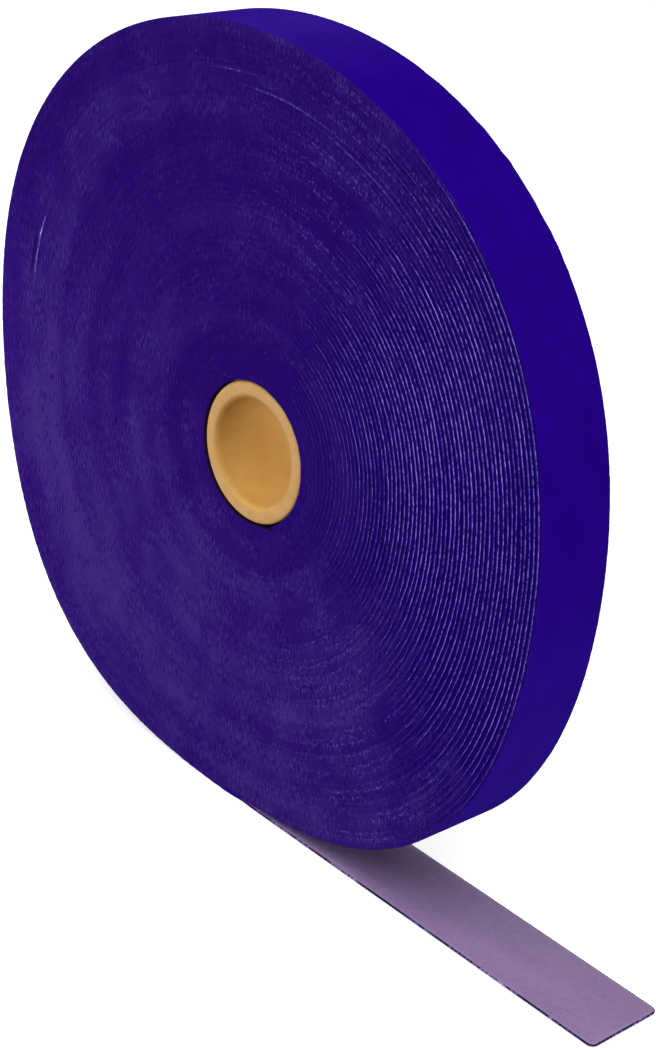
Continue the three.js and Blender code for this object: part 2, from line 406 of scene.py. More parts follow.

# The tips of the hooks between two turns. On the first turn, deep in the gap at the core, painted shade
# makes them nearly black.
finish, tree = new_finish("hook_band", specular=0.02)
rows = cloudy(tree, along_tape(tree, 1.1, 1.0), detail=3.0)
open_air = tinted(tree, rows, (0.34, (0.02, 0.005, 0.125)), (0.66, (0.045, 0.018, 0.19)))
# The colour at the core is painted shade, much darker than the hooks' own lavender.
at_core = tinted(tree, rows, (0.34, (0.008, 0.002, 0.02)), (0.66, (0.02, 0.006, 0.045)))
colour = mixed(tree, painted(tree, "painted_core_shade"), open_air, at_core)
hook_band_finish = complete(finish, colour, relief=rows, depth=0.1 * MM)

# %% [markdown]
# ## Helpers for modelling by hand
#
# A modeller adds a box, goes into edit mode, selects faces or edges and pushes them about. A mesh could also
# be written down as lists of points, but nobody could follow that with a mouse. So the same steps are written
# here as operators, and the selection is made by the place and the direction of a face or an edge.

# %% Helpers for modelling
FACING = 0.9
SAME_PLACE = 0.001 * MM


def pick(piece):
    """Selects one object alone and makes it the active one."""
    bpy.ops.object.select_all(action="DESELECT")
    piece.select_set(True)
    bpy.context.view_layer.objects.active = piece


def add_block(name, low, high):
    """A box between two corners, with its place in its mesh."""
    bpy.ops.object.select_all(action="DESELECT")
    middle = [(a + b) / 2 for a, b in zip(low, high)]
    bpy.ops.mesh.primitive_cube_add(size=1, location=middle, scale=[b - a for a, b in zip(low, high)])
    bpy.ops.object.transform_apply(location=True, rotation=True, scale=True)
    block = bpy.context.active_object
    block.name = name
    return block


def select_parts(piece, kind, test):
    """In edit mode, selects the faces or the edges that pass a test."""
    bpy.ops.mesh.select_mode(type=kind)
    bpy.ops.mesh.select_all(action="DESELECT")
    shape = bmesh.from_edit_mesh(piece.data)
    shape.normal_update()
    for part in shape.faces if kind == "FACE" else shape.edges:
        if test(part):
            part.select_set(True)
    bmesh.update_edit_mesh(piece.data)


def runs_along(edge, axis):
    """True for an edge that runs along one axis."""
    first, second = (vertex.co for vertex in edge.verts)
    return all(abs(first[i] - second[i]) < SAME_PLACE for i in range(3) if i != axis)


def cut_across(axis, places):
    """In edit mode, cuts the whole piece square to an axis at each place."""
    normal = [1.0 if i == axis else 0.0 for i in range(3)]
    for place in places:
        bpy.ops.mesh.select_all(action="SELECT")
        bpy.ops.mesh.bisect(plane_co=[n * place for n in normal], plane_no=normal)


def push_faces(offset):
    """In edit mode, extrudes the selected faces by an offset."""
    bpy.ops.mesh.extrude_region_move(TRANSFORM_OT_translate={"value": offset})


def repeat_along(piece, axis, pitch, count):
    """An Array modifier that repeats a piece along an axis."""
    repeat = piece.modifiers.new("repeat", "ARRAY")
    repeat.count = count
    repeat.use_relative_offset = False
    repeat.use_constant_offset = True
    repeat.constant_offset_displace = [pitch if i == axis else 0 for i in range(3)]
    return repeat


def apply_modifiers(piece):
    """Applies all of a piece's modifiers, in their order."""
    pick(piece)
    for modifier in list(piece.modifiers):
        bpy.ops.object.modifier_apply(modifier=modifier.name)


print("helpers for modelling are ready")

# %% [markdown]
# ## The winding's route
#
# The tape winds outwards from the core in 58 turns. An even spiral would be the simplest route, but this roll
# is soft: its outer turns have drifted to the left of the core and grown flat sides, the widest where it
# stands. So a formula adds the drift and some low waves to the spiral. It is the engineering model's own,
# with smooth arcs where that has short straight steps, and pressed flat on the table. The first turns lie
# round on the core, a little to one side, and each climbs where it passes the tape's inner end.

# %% The winding's route
TURN_COUNT = 58
EYE_RADIUS = 20.5 * MM
OUTER_RADIUS = 113.3 * MM
DRIFT = Vector((-5.9, 1.6)) * MM
LEAVING_ANGLE = math.radians(277.986)
# Each wave has its count round the roll, its height, and the direction of a crest in degrees.
LOBES = [(2, 2.5 * MM, -30), (3, 0.76 * MM, -27), (4, 2.4 * MM, -42.5), (5, 0.73 * MM, 19)]
FLAT_REACH = 8 * MM
FIRST_TURN = 0.061
SETTLED_AFTER = 5
CLIMB_STARTS = 0.95
TAB_RISE = 1.42 * MM
CORE_LEAN = 0.5 * MM
CORE_LEANS_TO = math.radians(38)
TURN_PITCH = (OUTER_RADIUS - EYE_RADIUS) / TURN_COUNT
FULL_TURN = 2 * math.pi
core_low, core_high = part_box("core_tube")
AXIS_HEIGHT = (core_low.z + core_high.z) / 2


def smooth_step(low, high, value):
    """Rises smoothly from 0 at low to 1 at high."""
    share = min(1.0, max(0.0, (value - low) / (high - low)))
    return share * share * (3 - 2 * share)


def turn_angle(turn):
    """The direction, seen from the core, at which the tape has made a number of turns."""
    return LEAVING_ANGLE + FULL_TURN * (turn - TURN_COUNT)


def first_turns_rise(turn):
    """How far the first turns lie outside an even spiral."""
    laid = turn - FIRST_TURN
    part = laid % 1
    climb = TURN_PITCH * (smooth_step(CLIMB_STARTS, 1, part) - part)
    leaning = CORE_LEAN * math.cos(turn_angle(turn) - CORE_LEANS_TO)
    return (TAB_RISE + climb - leaning) * (1 - smooth_step(0, SETTLED_AFTER, laid))


def free_turn_face(turn):
    """The outer face of the tape after a number of turns, before the table presses on it."""
    angle = turn_angle(turn)
    share = turn / TURN_COUNT
    lobes = sum(rise * math.cos(count * (angle - math.radians(at))) for count, rise, at in LOBES)
    radius = (EYE_RADIUS + share * (OUTER_RADIUS - EYE_RADIUS)) * (1 + lobes / OUTER_RADIUS * share**2)
    radius += first_turns_rise(turn)
    outward = Vector((math.cos(angle), math.sin(angle)))
    return outward * radius + DRIFT * share + Vector((0, AXIS_HEIGHT)), outward


# The tape leaves the roll where its last turn is lowest, to a tenth of a degree.
last_turns = [TURN_COUNT - tenths / 3600 for tenths in range(400)]
LAST_TURN = min(last_turns, key=lambda turn: free_turn_face(turn)[0].y)
SINK = -free_turn_face(LAST_TURN)[0].y


def turn_face(turn):
    """The outer face of the tape after a number of turns, and the direction that it faces."""
    face, outward = free_turn_face(turn)
    if face.y < FLAT_REACH:
        share = (face.y + SINK) / (FLAT_REACH + SINK)
        face.y += SINK * (1 - share) ** 2
    return face, outward


ROOT_START = turn_face(LAST_TURN)[0].x
print("the tape leaves the roll at x", round(ROOT_START / MM, 2), "mm, pressed in", round(SINK / MM, 2), "mm")

# %% [markdown]
# ## The uneven side of the roll
#
# No roll has level sides or even turns. Single turns stand proud, one is pinched up at the left above a
# hollow, and the rest wander by a tenth of a millimetre, sideways and in and out. That makes the soft bands
# and the uneven lines. The turns could be pushed about by hand, but that would have to be done again after
# every change. So each turn gets two small offsets, and the few marks are listed by their place.

# %% The uneven side of the roll
# Each mark has its share of the winding and its direction in degrees, both with a width, its rise in mm
# and its wear.
PROUD_TURNS = [
    (0.8394, 0.005, 161.2, 1.7, 0.35, 1.0),
    (0.8398, 0.005, 165.8, 3.8, 0.3, 0.6),
    (0.857, 0.006, 166.5, 3.8, -0.7, 0.0),
    (0.8355, 0.006, 86.0, 6.0, 0.15, 0.35),
    (0.871, 0.006, 96.5, 4.0, 0.1, 0.2),
    (0.8175, 0.006, 67.0, 9.0, 0.2, 0.25),
]
# Each wave has its height in mm, its steps in a turn, and a number that sets it apart.
SIDE_WAVES = [(0.1, 1.7, 0.3), (0.06, 9.1, 7.7)]
ROUTE_WAVES = [(0.1, 7.3, 2.9), (0.16, 31, 5.1), (0.2, 120, 8.3)]


def bump(middle, width, value):
    """A smooth hill of height 1."""
    return math.exp(-(((value - middle) / width) ** 2))


def wavy(turn, waves):
    """A sum of uneven waves after a number of turns."""
    return sum(height * noise.noise((turn * steps, apart, 0)) for height, steps, apart in waves)


def proud_hills(turn):
    """For each mark, how near it is after a number of turns, its rise in metres and its wear."""
    share = turn / TURN_COUNT
    degrees = math.degrees(turn_angle(turn)) % 360
    for at_share, share_width, at_angle, angle_width, rise, wear in PROUD_TURNS:
        yield bump(at_share, share_width, share) * bump(at_angle, angle_width, degrees), rise * MM, wear


def sideways(turn):
    """How far the tape stands out of the roll's front after a number of turns."""
    return sum(near * rise for near, rise, _ in proud_hills(turn)) + MM * wavy(turn, SIDE_WAVES)


def wander(turn):
    """How far the tape lies outside its even route. The outermost turn keeps to it."""
    return MM * wavy(turn, ROUTE_WAVES) * (1 - smooth_step(TURN_COUNT - 2, TURN_COUNT - 1, turn))


print("side offsets in mm", [round(sideways(turn) / MM, 2) for turn in range(2, TURN_COUNT, 8)])

# %% [markdown]
# ## A short length of tape
#
# The tape is woven cloth, with a pile on one face and hooks on the other, and both stand back from its edges.
# A whole turn could be modelled, but a piece as short as a grain of rice is easier to get right, and it can
# be repeated. It starts as a box, the cloth. Two cuts mark the bare selvages, the face between them is pushed
# out for the pile, the opposite one for the hooks, and the edges are bevelled. The ends stay open, so that
# one length can be welded to the next.

# %% The short length of tape
PILE_HEIGHT = 0.8 * MM
CLOTH_THICKNESS = 0.46 * MM
HOOK_HEIGHT = 0.5 * MM
TAPE_THICKNESS = PILE_HEIGHT + CLOTH_THICKNESS + HOOK_HEIGHT
BARE_MARGIN = 0.8 * MM
EDGE_ROUNDING = 0.04 * MM
NAP_ROUNDING = 0.04 * MM
turns_low, turns_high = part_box("outer_turns")
HALF_WIDTH = (turns_high.y - turns_low.y) / 2
NAP_HALF_WIDTH = HALF_WIDTH - BARE_MARGIN
PILE_TOP = -TAPE_THICKNESS / 2
CLOTH_FRONT = PILE_TOP + PILE_HEIGHT
CLOTH_BACK = CLOTH_FRONT + CLOTH_THICKNESS
TINY = 0.01 * MM
TAPE_FINISHES = [pile_finish, selvage_finish, side_fuzz_finish, hook_band_finish, nap_front_finish]
PILE_SLOT, SELVAGE_SLOT, EDGE_SLOT, HOOK_SLOT, NAP_SLOT = range(len(TAPE_FINISHES))


def tape_slot(centre, normal):
    """Which of the tape's five finishes a face has, by its place in the section."""
    faces_sideways = abs(normal.z) > 0.5
    if centre.y < CLOTH_FRONT - TINY:
        return NAP_SLOT if faces_sideways else PILE_SLOT
    if centre.y > CLOTH_BACK + TINY:
        return NAP_SLOT if faces_sideways else HOOK_SLOT
    if normal.y > FACING:
        return NAP_SLOT
    return SELVAGE_SLOT if normal.y < -FACING else EDGE_SLOT


def is_nap_face(face, side):
    """True for a face between the selvages, on the side of the pile, -1, or of the hooks, 1."""
    return face.normal.y * side > FACING and abs(face.calc_center_median().z) < NAP_HALF_WIDTH


def is_long_edge(edge, half_width):
    """True for an edge along the tape at a distance from its middle, but not where nap meets cloth."""
    place = edge.verts[0].co
    at_cloth = CLOTH_FRONT - TINY < place.y < CLOTH_BACK + TINY
    in_place = runs_along(edge, 0) and abs(abs(place.z) - half_width) < TINY
    return in_place and (half_width == HALF_WIDTH or not at_cloth)


def model_tape_length(name, length, strips):
    """A short length of tape along X, with the pile facing -Y, cut into strips across its width."""
    tape = add_block(name, (0, CLOTH_FRONT, -HALF_WIDTH), (length, CLOTH_BACK, HALF_WIDTH))
    bpy.ops.object.mode_set(mode="EDIT")
    inner_cuts = [NAP_HALF_WIDTH * (2 * i / strips - 1) for i in range(1, strips)]
    cut_across(2, [-NAP_HALF_WIDTH, *inner_cuts, NAP_HALF_WIDTH])
    for side, height in ((-1, PILE_HEIGHT), (1, HOOK_HEIGHT)):
        select_parts(tape, "FACE", lambda face: is_nap_face(face, side))
        push_faces((0, side * height, 0))
    select_parts(tape, "FACE", lambda face: abs(face.normal.x) > FACING)
    bpy.ops.mesh.delete(type="FACE")
    for half_width, rounding in ((HALF_WIDTH, EDGE_ROUNDING), (NAP_HALF_WIDTH, NAP_ROUNDING)):
        select_parts(tape, "EDGE", lambda edge: is_long_edge(edge, half_width))
        bpy.ops.mesh.bevel(offset=rounding, segments=1, affect="EDGES")
    bpy.ops.object.mode_set(mode="OBJECT")
    for finish in TAPE_FINISHES:
        tape.data.materials.append(finish)
    for face in tape.data.polygons:
        face.material_index = tape_slot(face.center, face.normal)
    for corner, spot in zip(tape.data.loops, tape.data.uv_layers.active.data):
        place = tape.data.vertices[corner.vertex_index].co
        spot.uv = (place.x / length, place.z / MM)
    return tape


print("tape thickness in mm", round(TAPE_THICKNESS / MM, 2), "width", round(2 * HALF_WIDTH / MM, 2))

# %% [markdown]
# ## Laying the tape on its route
#
# An Array modifier welds thousands of short lengths into one strip, and a Curve modifier bends it round the
# route, as a chain is laid on a path. A bevelled curve would be quicker to make, but all of its faces would
# have one finish, and its edge could not be roughened. The roll is wound lying flat, with its side up.

# %% Helpers for winding
def tape_middle(turn):
    """The middle of the tape after a number of turns, on a roll that lies flat."""
    face, outward = turn_face(turn)
    middle = face + outward * (wander(turn) - TAPE_THICKNESS / 2)
    return Vector((middle.x, middle.y, sideways(turn)))


def tape_route(first_turn, last_turn, spacing):
    """Counts of turns between two others, about evenly spaced along the tape, and the point at each."""
    turns = []
    turn = first_turn
    while turn < last_turn:
        turns.append(turn)
        turn += spacing / (FULL_TURN * (EYE_RADIUS + turn * TURN_PITCH))
    turns.append(last_turn)
    return turns, [tape_middle(turn) for turn in turns]


def lay_route(name, points):
    """A curve through points, whose upward side stays up."""
    curve = bpy.data.curves.new(name, "CURVE")
    curve.dimensions = "3D"
    curve.twist_mode = "Z_UP"
    spline = curve.splines.new("POLY")
    spline.points.add(len(points) - 1)
    spline.points.foreach_set("co", [c for p in points for c in (*p, 1)])
    route = bpy.data.objects.new(name, curve)
    bpy.context.scene.collection.objects.link(route)
    return route


def mark_points(piece, name, test):
    """Names the points of a piece that pass a test, for a modifier that moves only those."""
    group = piece.vertex_groups.new(name=name)
    group.add([v.index for v in piece.data.vertices if test(v.co)], 1.0, "REPLACE")


def lay_tape(name, points, step, count, strips):
    """A strip of short lengths of tape, welded and bent round a route."""
    turns = model_tape_length(name, step, strips)
    nap_edge = NAP_HALF_WIDTH - 1.5 * NAP_ROUNDING
    mark_points(turns, "edges", lambda co: abs(co.z) > nap_edge)
    mark_points(turns, "pile", lambda co: co.y < PILE_TOP + TINY)
    for side, nap in ((1, "front_nap"), (-1, "back_nap")):
        mark_points(turns, nap, lambda co: nap_edge < co.z * side < NAP_HALF_WIDTH + TINY)
    repeat = repeat_along(turns, 0, step, count)
    repeat.use_merge_vertices = True
    repeat.merge_threshold = TINY
    repeat.offset_u = 1
    route = lay_route(name + "_route", points)
    turns.modifiers.new("follow", "CURVE").object = route
    apply_modifiers(turns)
    bpy.data.objects.remove(route)
    return turns


def measure_map(piece, step):
    """Turns a map that counts lengths of tape into one in mm, and gives the metres at each point."""
    spots = piece.data.uv_layers.active.data
    values = np.zeros(2 * len(spots), np.float32)
    spots.foreach_get("uv", values)
    values[0::2] *= step / MM
    spots.foreach_set("uv", values)
    corners = np.zeros(len(piece.data.loops), np.int32)
    piece.data.loops.foreach_get("vertex_index", corners)
    along = np.zeros(len(piece.data.vertices))
    along[corners] = values[0::2] * MM
    return along


print("points on the route", len(tape_route(FIRST_TURN, LAST_TURN, 5 * MM)[0]))

# %% [markdown]
# ## Where the edge is combed, dotted and worn, and where light and shade are painted
#
# Loops and hooks stand back from the tape's edge, which leaves the bare strip. On most of the roll's side,
# fibres were combed over it, and the turns melt into one soft face. Only at the right, away from the core, it
# lies open. A modeller would paint such weights with a brush, but on so many points a formula is quicker, and
# it gives the same result each time. It finds each value from a point's count of turns and its place.

# %% How far the edge is combed
# Directions on the roll's side are in degrees: 0 is at the right, 90 at the top and -90 at the bottom.
COMBED_FROM_ABOVE = (33, 76)
COMBED_FROM_BELOW = (-12, 60)
OPEN_FURTHER_DOWN = 32
OPEN_FURTHER_OUT = (45 * MM, 90 * MM)
CALM_BELOW = (25, 50)
RAGGED_WAVES = [(16, 55, 3.1), (16, 150, 6.4)]
COMBED_AT_CORE = 0.85
CORE_REACH = (14 * MM, 70 * MM)
CORE_REACH_RAGGED = 0.2 * MM
COMBED_OUTERMOST = 0.2
OUTERMOST_TURNS = (TURN_COUNT - 1.3, TURN_COUNT - 0.9)
HOLLOW_STAYS_OPEN = 0.8


def from_core_axis(place):
    """The way from the core's axis to a place on the lying roll."""
    return Vector((place.x, place.y - AXIS_HEIGHT))


def side_degrees(place):
    """The direction of a place on the lying roll."""
    way = from_core_axis(place)
    return math.degrees(math.atan2(way.y, way.x))


def hollow_share(turn):
    """How near a hollow stretch of the tape is after a number of turns."""
    return min(1, sum(near for near, rise, _ in proud_hills(turn) if rise < 0))


def comb_share(turn, place):
    """How far the nap is combed over the tape's edge: 0 is not at all, and 1 is flush."""
    radius = from_core_axis(place).length
    degrees = side_degrees(place)
    ragged = wavy(turn, RAGGED_WAVES)
    above = smooth_step(*COMBED_FROM_ABOVE, degrees + ragged)
    start, end = COMBED_FROM_BELOW
    start += OPEN_FURTHER_DOWN * smooth_step(*OPEN_FURTHER_OUT, radius)
    calmer = 1 - smooth_step(*CALM_BELOW, -degrees)
    below = smooth_step(start, end, ragged * calmer - degrees)
    at_core = COMBED_AT_CORE * (1 - smooth_step(*CORE_REACH, radius + CORE_REACH_RAGGED * ragged))
    outermost = COMBED_OUTERMOST * smooth_step(*OUTERMOST_TURNS, turn)
    return max(above, below, at_core, outermost) * (1 - HOLLOW_STAYS_OPEN * hollow_share(turn))


top, right = Vector((0, 0.19, 0)), Vector((0.1, 0.1, 0))
print("combed at the top and at the right", comb_share(40.5, top), comb_share(40.2, right))

# %% The other painted values
# The parts of a ring's tone: two widths of rings, painted shade at the top, painted light at the lower
# left, and the turns next to the core.
WIDE_RINGS, NARROW_RINGS, PAINTED_SHADE_TOP, PAINTED_LIGHT_LOW_LEFT, DARK_INSIDE = 0.4, 0.12, 0.3, 0.15, 0.3
# Each dotted stretch has its strength, its direction and its width.
DOTTED_STRETCHES = [(0.6, 70, 26), (0.9, -50, 20)]
DOTTED_AFTER = (14, 26)
# Each stretch of painted sheen has its strength, its side, 1 above and -1 below, and where it starts and
# ends.
PAINTED_SHEEN_STRETCHES = [(0.9, 1, (72, 100), (120, 170)), (0.8, -1, (-12, 48), (80, 130))]
PAINTED_CORE_SHADE_UNTIL = (1.1, 1.4)


def worn_share(turn, place):
    """How far a proud stretch of the tape is worn to pale threads, on the roll's front."""
    return min(1, sum(near * wear for near, _, wear in proud_hills(turn))) if place.z > 0 else 0.0


def ring_tone_with_painted_light(turn, place):
    """How light the ring of turns is at a place, about 0.5: darker next to the core, with painted shade at
    the top and painted light at the lower left.
    """
    around = from_core_axis(place).normalized()
    wide = noise.noise((turn * 0.2, around.x * 0.7, around.y * 0.7))
    narrow = noise.noise((turn * 0.75, around.x * 1.5 + 9, around.y * 1.5))
    # The top gets painted shade and the lower left painted light, for how the light falls on the roll's side.
    painted_shade_mask = smooth_step(-0.2, 0.9, around.y)
    painted_light_mask = smooth_step(0.3, 1.2, -around.x - around.y) * smooth_step(20, 45, turn)
    inside = 1 - smooth_step(1, 12, turn)
    rings = WIDE_RINGS * wide + NARROW_RINGS * narrow
    return 0.5 + rings - PAINTED_SHADE_TOP * painted_shade_mask + PAINTED_LIGHT_LOW_LEFT * painted_light_mask - DARK_INSIDE * inside


def dotted_share(turn, place):
    """How much the rows of thread ends show through the combed fibres at a place."""
    degrees = side_degrees(place)
    strongest = max(strength * bump(at, width, degrees) for strength, at, width in DOTTED_STRETCHES)
    patches = noise.noise((turn * 0.9, place.x / MM * 0.05, place.y / MM * 0.05))
    return strongest * smooth_step(-0.25, 0.35, patches) * smooth_step(*DOTTED_AFTER, turn)


def painted_core_shade_share(turn, place):
    """A value of 1 on the first turn, next to the core, where the hook band has painted shade, and 0 on the
    others.
    """
    return 1 - smooth_step(*PAINTED_CORE_SHADE_UNTIL, turn)


def painted_sheen_share(turn, place):
    """How much painted sheen the pile of the rim has at a place."""
    shares = []
    for strength, side, start, end in PAINTED_SHEEN_STRETCHES:
        degrees = side * side_degrees(place)
        shares.append(strength * smooth_step(*start, degrees) * (1 - smooth_step(*end, degrees)))
    return max(shares)


PAINTED_VALUES = {
    "combed": comb_share,
    "worn": worn_share,
    "tone": ring_tone_with_painted_light,
    "dotted": dotted_share,
    "painted_core_shade": painted_core_shade_share,
    "painted_sheen": painted_sheen_share,
}
print("tone at the top and at the right", ring_tone_with_painted_light(40.5, top), ring_tone_with_painted_light(40.2, right))

# %% [markdown]
# ## Winding the tape
#
# The roll is one strip, but it is wound in four stretches: the inner turns, the middle ones, the outer ones
# and the outermost turn, which has a much finer pile because its whole face is seen. One stretch could do,
# but it would have too many faces for one piece. After winding, the edge of the nap is pushed out by the
# combed weight, and the edges and the pile are roughened, so that light breaks on them as on cloth.

# %% Helpers for the roll's side
SMOOTH_ANGLE = math.radians(50)


def comb_nap(piece, name, direction):
    """Pushes the marked edge of the nap towards one side of the roll, by the painted weights."""
    group = piece.vertex_groups[name]
    for vertex, share in zip(piece.data.vertices, piece.data.attributes["combed"].data):
        for weight in vertex.groups:
            if weight.group == group.index:
                weight.weight = share.value
    push = piece.modifiers.new(name, "DISPLACE")
    push.vertex_group = name
    push.direction = "Z"
    push.mid_level = 0
    push.strength = direction * BARE_MARGIN


def roughen(piece, name, group, direction, grain, depth):
    """A Displace modifier that moves marked points unevenly."""
    texture = bpy.data.textures.new(name, "CLOUDS")
    texture.noise_scale = grain
    texture.noise_depth = 2
    push = piece.modifiers.new(name, "DISPLACE")
    push.texture = texture
    push.texture_coords = "LOCAL"
    push.vertex_group = group
    push.direction = direction
    push.strength = depth
    push.mid_level = 0.5


def stand_up(turns):
    """Turns a lying roll upright, closes the ends of its tape and smooths it."""
    turns.rotation_euler.x = math.pi / 2
    bpy.ops.object.transform_apply(rotation=True)
    bpy.ops.object.mode_set(mode="EDIT")
    bpy.ops.mesh.select_all(action="SELECT")
    bpy.ops.mesh.fill_holes(sides=0)
    bpy.ops.mesh.select_all(action="SELECT")
    bpy.ops.mesh.normals_make_consistent(inside=False)
    bpy.ops.object.mode_set(mode="OBJECT")
    bpy.ops.object.shade_smooth_by_angle(angle=SMOOTH_ANGLE)
    turns.vertex_groups.clear()


print("helpers for the roll's side are ready")

# %% Winding the tape
# Each stretch has its name, its solid, its first and last turn, the length of its steps and its strips.
STRETCHES = [
    ("wound_inner_turns", "inner_turns", FIRST_TURN, 34, 2.2 * MM, 1),
    ("wound_middle_turns", "outer_turns", 34, 46, 2.0 * MM, 1),
    ("wound_outer_turns", "outer_turns", 46, TURN_COUNT - 1, 2.0 * MM, 1),
    ("outermost_turn", "outer_turns", TURN_COUNT - 1, LAST_TURN, 0.8 * MM, 30),
]


def wind_tape(name, first_turn, last_turn, step, strips):
    """Winds a stretch of the tape between two counts of turns."""
    turns_on_route, points = tape_route(first_turn, last_turn, step / 2)
    reached = np.cumsum([0] + [(b - a).length for a, b in zip(points, points[1:])])
    length = reached[-1]
    count = round(length / step)
    turns = lay_tape(name, points, length / count, count, strips)
    turn_at = np.interp(measure_map(turns, length / count), reached, turns_on_route)
    places = [vertex.co for vertex in turns.data.vertices]
    for value_name, share in PAINTED_VALUES.items():
        values = turns.data.attributes.new(value_name, "FLOAT", "POINT").data
        values.foreach_set("value", [share(turn, place) for turn, place in zip(turn_at, places)])
    comb_nap(turns, "front_nap", 1)
    comb_nap(turns, "back_nap", -1)
    roughen(turns, name + "_edges", "edges", "Z", grain=1.6 * MM, depth=0.22 * MM)
    roughen(turns, name + "_fuzz", "front_nap", "Z", grain=1.1 * MM, depth=0.12 * MM)
    roughen(turns, name + "_nap", "pile", "NORMAL", grain=0.9 * MM, depth=0.08 * MM)
    apply_modifiers(turns)
    stand_up(turns)
    triangles = sum(len(face.vertices) - 2 for face in turns.data.polygons)
    print(name, round(length, 2), "m,", count, "lengths,", triangles, "triangles")
    return turns


for name, node, first_turn, last_turn, step, strips in STRETCHES:
    piece = wind_tape(name, first_turn, last_turn, step, strips)
    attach(piece, "roll")
    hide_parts(node)

# %% [markdown]
# ## Finishes of the free tail
#
# The tail shows the hook side, a lavender-grey film with a dull sheen, and along it the cut edge of the
# cloth, dark with pale flecks. A flat grey would look like paper. So the film is mottled by noise on the
# tape's own map, and the flecks come from a steep change between dark and pale.

# %% Finishes of the free tail
finish, tree = new_finish("hook_film", roughness=0.6, specular=0.3)
mottled = cloudy(tree, along_tape(tree, 0.5, 0.5), detail=4.0, roughness=0.65)
slow = cloudy(tree, along_tape(tree, 0.03, 0.08), detail=2.0)
shade = blended(tree, (mottled, 0.5), (slow, 0.5))
colour = tinted(tree, shade, (0.3, (0.193, 0.124, 0.258)), (0.7, (0.26, 0.176, 0.33)))
hook_film_finish = complete(finish, colour, relief=mottled, depth=0.06 * MM)

finish, tree = new_finish("cloth_edge", roughness=0.95, specular=0.08)
fuzz = cloudy(tree, along_tape(tree, 1.6, 1.0), detail=4.0, roughness=0.7)
patches = cloudy(tree, along_tape(tree, 0.05, 0.1), detail=2.0)
shade = blended(tree, (fuzz, 0.6), (patches, 0.4))
dark, dim, fleck = (0.007, 0.003, 0.028), (0.025, 0.012, 0.09), (0.3, 0.25, 0.5)
colour = tinted(tree, shade, (0.44, dark), (0.52, dim), (0.6, fleck))
cloth_edge_finish = complete(finish, colour, relief=fuzz, depth=0.08 * MM)

# %% [markdown]
# ## One small hook
#
# The hooks are tiny bent stems of plastic, and from a step away only a fine grain. Noise alone could give the
# grain, but from close by and from the side the film would be bare. So one hook is modelled with few faces,
# and repeated in rows.

# %% One small hook
HOOK_STEM = 0.24 * MM
STEM_HEIGHT = 0.07 * MM
HOOK_TAPER = 0.86
# How the tip of the stem is pushed on, step by step, in millimetres.
HOOK_STEPS = [(0.03, 0, 0.07), (0.1, 0, 0.04), (0.14, 0, -0.02), (0.05, 0, -0.05)]


def model_hook():
    """One hook: a stem that is pushed up step by step and bends over at its tip."""
    half = HOOK_STEM / 2
    hook = add_block("small_hook", (-half, -half, -TINY), (half, half, STEM_HEIGHT))
    bpy.ops.object.mode_set(mode="EDIT")
    select_parts(hook, "FACE", lambda face: face.normal.z < -FACING)
    bpy.ops.mesh.delete(type="FACE")
    select_parts(hook, "FACE", lambda face: face.normal.z > FACING)
    for offset in HOOK_STEPS:
        push_faces([x * MM for x in offset])
        bpy.ops.transform.resize(value=(HOOK_TAPER, HOOK_TAPER, HOOK_TAPER))
    bpy.ops.object.mode_set(mode="OBJECT")
    hook.data.materials.append(hook_film_finish)
    return hook


small_hook = model_hook()
hook_height = max(v.co.z for v in small_hook.data.vertices)
print("hook height in mm", round(hook_height / MM, 2), "faces", len(small_hook.data.polygons))

# %% [markdown]
# ## The free tail
#
# Past the roll the tape lies flat with its hooks up, and it bends at eight hinges. One piece on each body
# would break open there. So each piece reaches from the middle of one plate to the middle of the next, with
# the hinge between. The pieces meet where neither of them bends. The pile under the tail is pressed thin.
# Only at the root it is as full as on the last turn.

# %% Layers and hooks of the tail
hinges = [Vector(joint["pos_m"]) for joint in frame["joints"]]
PLATE_PITCH = hinges[1].x - hinges[0].x
TAIL_START = hinges[0].x - PLATE_PITCH / 2
tail_low, tail_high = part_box("tail_loop_8")
TAIL_END = tail_high.x
HOOKS_PER_PLATE = 17
HOOK_PITCH = PLATE_PITCH / HOOKS_PER_PLATE
FILM_THICKNESS = 0.1 * MM
FILM_MARGIN = 0.35 * MM
FILM_ROUNDING = 0.04 * MM
PILE_SET_BACK = 1.2 * MM
PRESSED_PILE = 0.36 * MM
CLOTH_TOP = PRESSED_PILE + CLOTH_THICKNESS
FILM_TOP = CLOTH_TOP + FILM_THICKNESS
TAIL_CORNER = 2 * MM
INNER_CORNER = TAIL_CORNER * 0.7
BEND_STEP = 1.2 * MM


def model_layer(name, low, high, corner, rounding, finish):
    """One layer of a piece of the tail, cut across so that it can bend, with round corners at its end."""
    layer = add_block(name, low, high)
    bpy.ops.object.mode_set(mode="EDIT")
    if corner:
        select_parts(layer, "EDGE", lambda edge: runs_along(edge, 2) and edge.verts[0].co.x > high[0] - TINY)
        bpy.ops.mesh.bevel(offset=corner, segments=6, affect="EDGES")
    select_parts(
        layer,
        "EDGE",
        lambda edge: not runs_along(edge, 2)
        and (corner or not runs_along(edge, 1))
        and edge.verts[0].co.x + edge.verts[1].co.x > 2 * low[0] + TINY,
    )
    bpy.ops.mesh.bevel(offset=rounding, segments=2, affect="EDGES")
    cuts = round((high[0] - low[0]) / BEND_STEP)
    cut_across(0, [low[0] + (high[0] - low[0]) * i / cuts for i in range(1, cuts)])
    bpy.ops.object.mode_set(mode="OBJECT")
    layer.data.materials.append(finish)
    return layer


